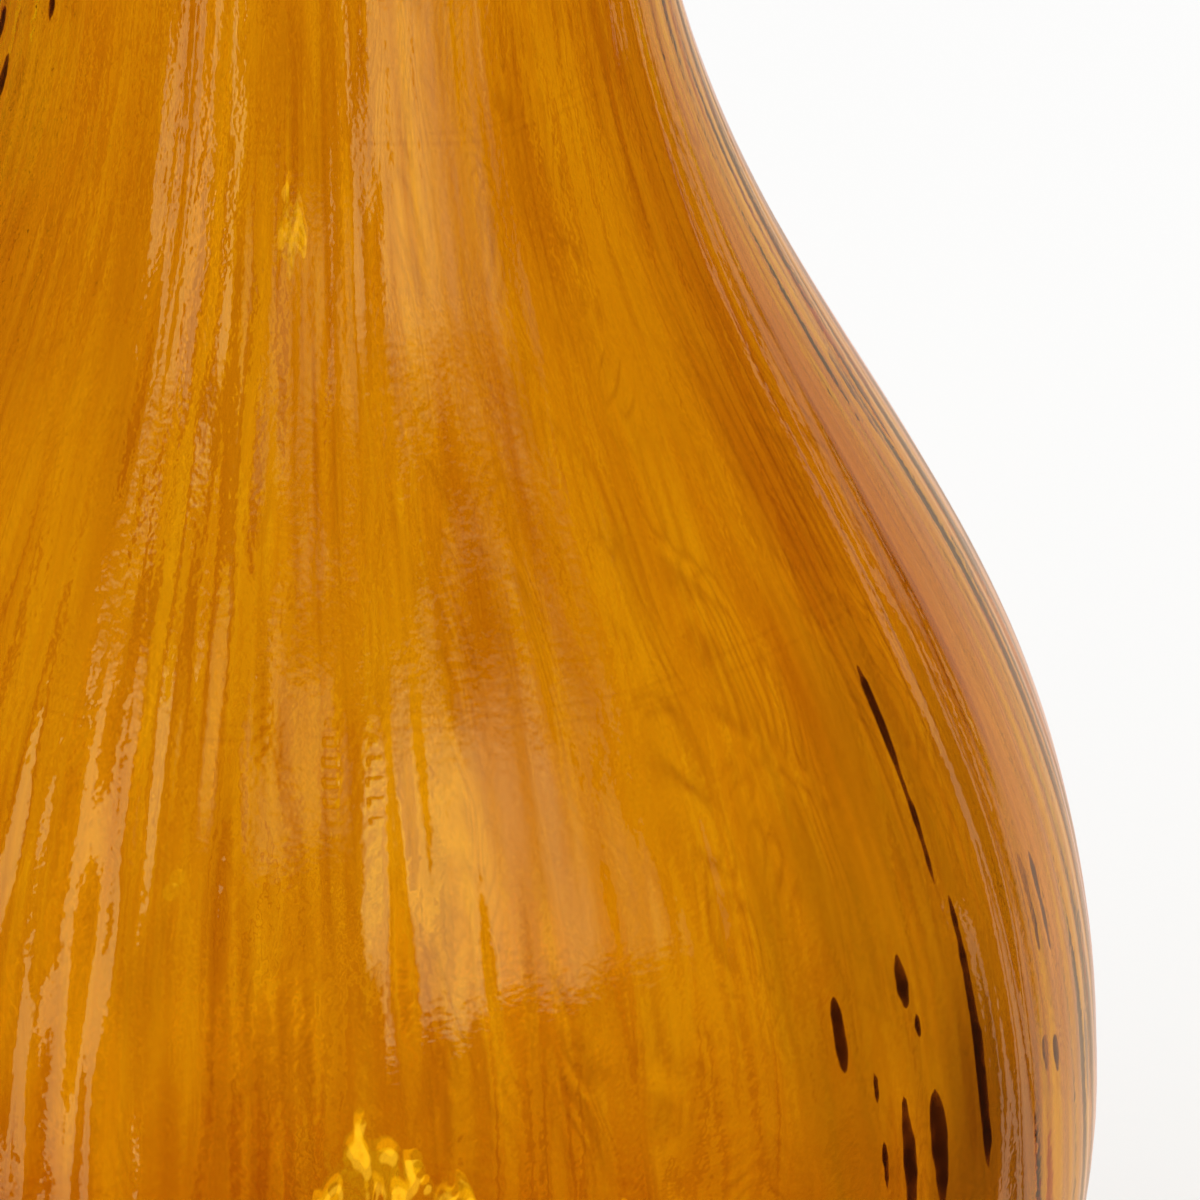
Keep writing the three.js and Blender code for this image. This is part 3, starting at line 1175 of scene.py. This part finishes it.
@dataclass
class Softbox:
    """A rectangular studio light.

    Attributes:
        azimuth: Degrees round from the camera's side, positive to its right.
        half_width: Half its width, in degrees seen from the vase.
        low: Height of the lower edge, in metres.
        high: Height of the upper edge.
        glow: How bright its face is, where 1 is white.
        distance: How far it stands from the vase.
        tint: The colour of its light.
        fades: The shares of its width and height in which it fades: left, right, low and high.
        edge_share: How bright its edges are against its middle.
    """

    azimuth: float
    half_width: float
    low: float
    high: float
    glow: float
    distance: float = 0.55
    tint: Colour = (1.0, 0.9, 0.42)
    fades: tuple[float, float, float, float] = (0.1, 0.1, 0.1, 0.1)
    edge_share: float = 0.2

    def build(self, name: str) -> None:
        """Makes the light, facing the vase.

        Args:
            name: The light's name.
        """
        width = 2 * self.distance * math.tan(math.radians(self.half_width))
        height = self.high - self.low
        lamp = bpy.data.lights.new(name, "AREA")
        lamp.shape = "RECTANGLE"
        lamp.size, lamp.size_y = width, height
        lamp.energy = self.glow * math.pi * width * height
        lamp.color = self.tint
        self.soften(lamp)
        softbox = add_object(name, lamp)
        angle = math.radians(self.azimuth)
        away = Vector((math.sin(angle), -math.cos(angle), 0.0))
        middle = Vector((0.0, 0.0, (self.low + self.high) / 2))
        softbox.location = away * self.distance + middle
        softbox.rotation_mode = "QUATERNION"
        softbox.rotation_quaternion = away.to_track_quat("Z", "Y")
        softbox.visible_camera = False

    def soften(self, lamp: bpy.types.Light) -> None:
        """Lets the light's face fade towards its edges.

        Args:
            lamp: The light.
        """
        wires = Wiring(emptied(lamp))
        across, up, _ = wires.separate(wires.node("ShaderNodeNewGeometry").outputs["Parametric"])
        left, right, low, high = self.fades
        glow = wires.remap(across, 0.0, left, self.edge_share, 1.0)
        sides = ((across, 1.0, 1.0 - right), (up, 0.0, low), (up, 1.0, 1.0 - high))
        for place, edge, inner in sides:
            glow = wires.times(glow, wires.remap(place, edge, inner, self.edge_share, 1.0))
        light = wires.node("ShaderNodeEmission", {"Color": rgba(WHITE), "Strength": glow})
        wires.node("ShaderNodeOutputLight", {"Surface": light.outputs[0]})


@dataclass
class PhotoView:
    """The camera's place, read from the photograph.

    Attributes:
        elevation: Degrees above the horizon.
        pixel: Millimetres on the vase for one of the photograph's pixels.
        image_size: The photograph's width and height in pixels.
        axis_x: The pixel column of the vase's axis.
        belly_y: The pixel row of the middle of the widest ring.
        distance: Metres from the vase.
    """

    elevation: float = 22.0
    pixel: float = 0.157
    image_size: int = 1200
    axis_x: float = 332.5
    belly_y: float = 1069.8
    distance: float = 2.5

    def build(self, belly_height: float) -> None:
        """Makes the scene's camera.

        Args:
            belly_height: Height of the widest ring, in millimetres.
        """
        tilt = math.radians(self.elevation)
        half = self.image_size / 2
        upward = Vector((0.0, math.sin(tilt), math.cos(tilt)))
        back = Vector((0.0, -math.cos(tilt), math.sin(tilt)))
        right = (half - self.axis_x) * self.pixel * MM
        up = ((self.belly_y - half) * self.pixel + belly_height * math.cos(tilt)) * MM
        lens = bpy.data.cameras.new("photo view")
        belly_distance = self.distance - belly_height * MM * math.sin(tilt)
        lens.lens = lens.sensor_width * belly_distance / (self.image_size * self.pixel * MM)
        camera = add_object("photo view", lens)
        camera.location = Vector((right, 0.0, 0.0)) + upward * up + back * self.distance
        camera.rotation_mode = "QUATERNION"
        camera.rotation_quaternion = back.to_track_quat("Z", "Y")
        bpy.context.scene.camera = camera


@dataclass(frozen=True)
class Band:
    """The directions between two bearings, in degrees, with soft edges.

    Attributes:
        left: The bearing of its left edge.
        right: The bearing of its right edge.
        edge: How far it fades outside them.
    """

    left: float
    right: float
    edge: float

    def share(self, wires: Wiring, turn: Socket) -> Socket:
        """Gives how much of the band lies at a bearing, from 0 to 1."""
        return wires.times(wires.remap(turn, self.left - self.edge, self.left),
                           wires.remap(turn, self.right + self.edge, self.right))


@dataclass
class Studio:
    """Pale floor, white backdrop and soft lights, with bearings in degrees."""

    floor_radius: float = 14.0
    floor_sides: int = 96
    floor_colour: Colour = (0.97, 0.97, 0.97)
    floor_roughness: float = 0.9
    floor_through: float = 0.55
    bounces: int = 20
    dim: Colour = (0.12, 0.045, 0.02)
    far_reflected: Colour = (0.93, 0.69, 0.58)
    near_reflected: Colour = (0.92, 0.65, 0.44)
    nearing: Range = (4.0, 20.0)
    backdrop: Band = Band(-16.0, 51.0, 3.0)
    strip: Band = Band(55.0, 57.0, 0.7)
    reed: Band = Band(71.8, 73.2, 0.4)
    reed_lean: float = 37.0
    reed_top: Range = (-0.06, -0.08)
    softboxes: tuple[Softbox, ...] = (
        Softbox(azimuth=-37.0, half_width=5.0, low=0.02, high=0.54, glow=2.4),
        Softbox(azimuth=31.0, half_width=20.0, low=0.24, high=0.56, glow=2.6,
                fades=(0.1, 0.8, 0.1, 0.3)),
        Softbox(azimuth=-6.0, half_width=9.0, low=0.41, high=0.6, glow=1.0,
                fades=(0.3, 0.3, 0.3, 0.3)),
    )
    camera: PhotoView = field(default_factory=PhotoView)

    def world(self) -> None:
        """Lights the room: white for the floor and behind glass, a backdrop in reflections."""
        world = bpy.data.worlds.new("studio")
        wires = Wiring(emptied(world))
        path = wires.node("ShaderNodeLightPath").outputs
        x, y, z = wires.separate(wires.node("ShaderNodeTexCoord").outputs["Generated"])
        bearing = wires.math("DEGREES", wires.math("ARCTAN2", x, y))
        near = wires.remap(bearing, *self.nearing)
        lit = wires.mix_colour(near, rgba(self.far_reflected), rgba(self.near_reflected))
        leaning = wires.minus(bearing, wires.times(z, self.reed_lean))
        reed = wires.times(self.reed.share(wires, leaning), wires.remap(z, *self.reed_top))
        standing = (self.backdrop.share(wires, bearing), self.strip.share(wires, bearing))
        shown = wires.math("MAXIMUM", wires.math("MAXIMUM", *standing), reed)
        reflected = wires.mix_colour(shown, rgba(self.dim), lit)
        colour = wires.mix_colour(path["Is Glossy Ray"], rgba(WHITE), reflected)
        seen = wires.math("MAXIMUM", path["Is Camera Ray"], path["Is Transmission Ray"])
        colour = wires.mix_colour(seen, colour, rgba(WHITE))
        light = wires.node("ShaderNodeBackground", {"Color": colour, "Strength": 1.0})
        wires.node("ShaderNodeOutputWorld", {"Surface": light.outputs[0]})
        bpy.context.scene.world = world

    def floor(self) -> None:
        """Makes the round pale floor, which glows a little where it is seen through glass."""
        turns = [math.tau * side / self.floor_sides for side in range(self.floor_sides)]
        ring = [(self.floor_radius * math.cos(turn), self.floor_radius * math.sin(turn), 0.0)
                for turn in turns]
        mesh = bpy.data.meshes.new("floor")
        mesh.from_pydata(ring, [], [tuple(range(self.floor_sides))])
        floor = add_object("floor", mesh)
        floor.visible_glossy = False
        tree = ShaderTree("pale floor")
        tree.shade({
            "Base Color": rgba(self.floor_colour), "Roughness": self.floor_roughness,
            "Specular IOR Level": 0.0,
        })
        glow = tree.node("ShaderNodeEmission", {"Color": rgba(self.floor_colour), "Strength": 1.0})
        path = tree.node("ShaderNodeLightPath").outputs
        share = tree.times(path["Is Transmission Ray"], self.floor_through)
        seen = tree.node("ShaderNodeMixShader", {
            0: share, 1: tree.shader.outputs[0], 2: glow.outputs[0],
        })
        tree.feed(tree.output.inputs["Surface"], seen.outputs[0])
        tree.material.cycles.emission_sampling = "NONE"
        mesh.materials.append(tree.material)

    def build(self, belly_height: float) -> None:
        """Sets up the view, the lights and the floor.

        Args:
            belly_height: Height of the vase's widest ring, in millimetres.
        """
        scene = bpy.context.scene
        scene.view_settings.view_transform = "Standard"
        for kind in ("max_bounces", "transmission_bounces", "glossy_bounces"):
            setattr(scene.cycles, kind, self.bounces)
        self.camera.build(belly_height)
        self.world()
        self.floor()
        for number, softbox in enumerate(self.softboxes, 1):
            softbox.build(f"softbox {number}")


def main() -> None:
    """Builds the studio and the vase, and reports each piece."""
    logging.basicConfig(level=logging.INFO, format="%(name)s: %(message)s")
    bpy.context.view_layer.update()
    outline = Outline()
    Studio().build(outline.belly_height)
    place = wall_place_group()
    wall = GlassWall(AmberGlass().material(place), outline).build()
    LOG.info("%s: %d faces", wall.name, len(wall.data.polygons))
    for chip in DarkChips(DarkGlass().material(place)).build():
        LOG.info("%s: %d faces", chip.name, len(chip.data.polygons))


if __name__ == "__main__":
    main()
